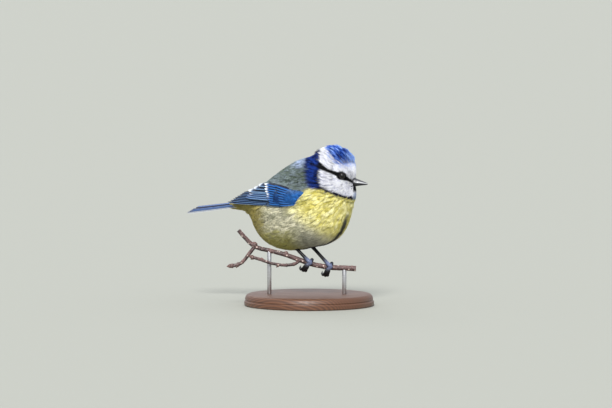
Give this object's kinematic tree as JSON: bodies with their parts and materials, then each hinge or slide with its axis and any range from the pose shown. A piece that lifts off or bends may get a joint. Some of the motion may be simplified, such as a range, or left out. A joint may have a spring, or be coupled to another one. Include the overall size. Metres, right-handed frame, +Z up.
{
  "type": "blue tit",
  "caption": "Life-size still model of a small songbird gripping a cut length of twig, which two short rods hold over a round flat base.",
  "frame": {"origin": "centre of the round base's underside", "axes": "+Z up, +X the way the bird's body faces, +Y its left side"},
  "size_m": [0.1195, 0.078, 0.0961],
  "materials": {
    "body_feathers": "soft contour feathers: blue cap, white face, dark eye stripe and collar, green-grey back, yellow breast and flanks",
    "flight_feathers": "blue wing and tail feathers with pale edges and dark inner vanes",
    "bill": "smooth dark horn, paler along the cutting edges",
    "eye": "wet black-brown eye",
    "leg_scales": "slate blue scaled skin",
    "claw": "dark horn",
    "bark": "thin grey-brown bark with pale pores and buds",
    "base_wood": "turned dark hardwood, satin",
    "rod_metal": "fine brushed rod"
  },
  "bodies": {
    "root": {"torso": "body_feathers", "neck": "body_feathers", "head": "body_feathers", "bill_upper": "bill", "bill_lower": "bill", "eye_right": "eye", "eye_left": "eye", "wing_right": "flight_feathers", "wing_left": "flight_feathers", "tail": "flight_feathers", "leg_right": "leg_scales", "leg_left": "leg_scales", "foot_right": "leg_scales", "foot_left": "leg_scales", "claw_right_inner": "claw", "claw_right_middle": "claw", "claw_right_outer": "claw", "claw_right_hind": "claw", "claw_left_inner": "claw", "claw_left_middle": "claw", "claw_left_outer": "claw", "claw_left_hind": "claw", "perch_twig": "bark", "perch_shoot_low": "bark", "perch_shoot_side": "bark", "stand_base": "base_wood", "stand_rod_1": "rod_metal", "stand_rod_2": "rod_metal"}
  },
  "joints": []
}
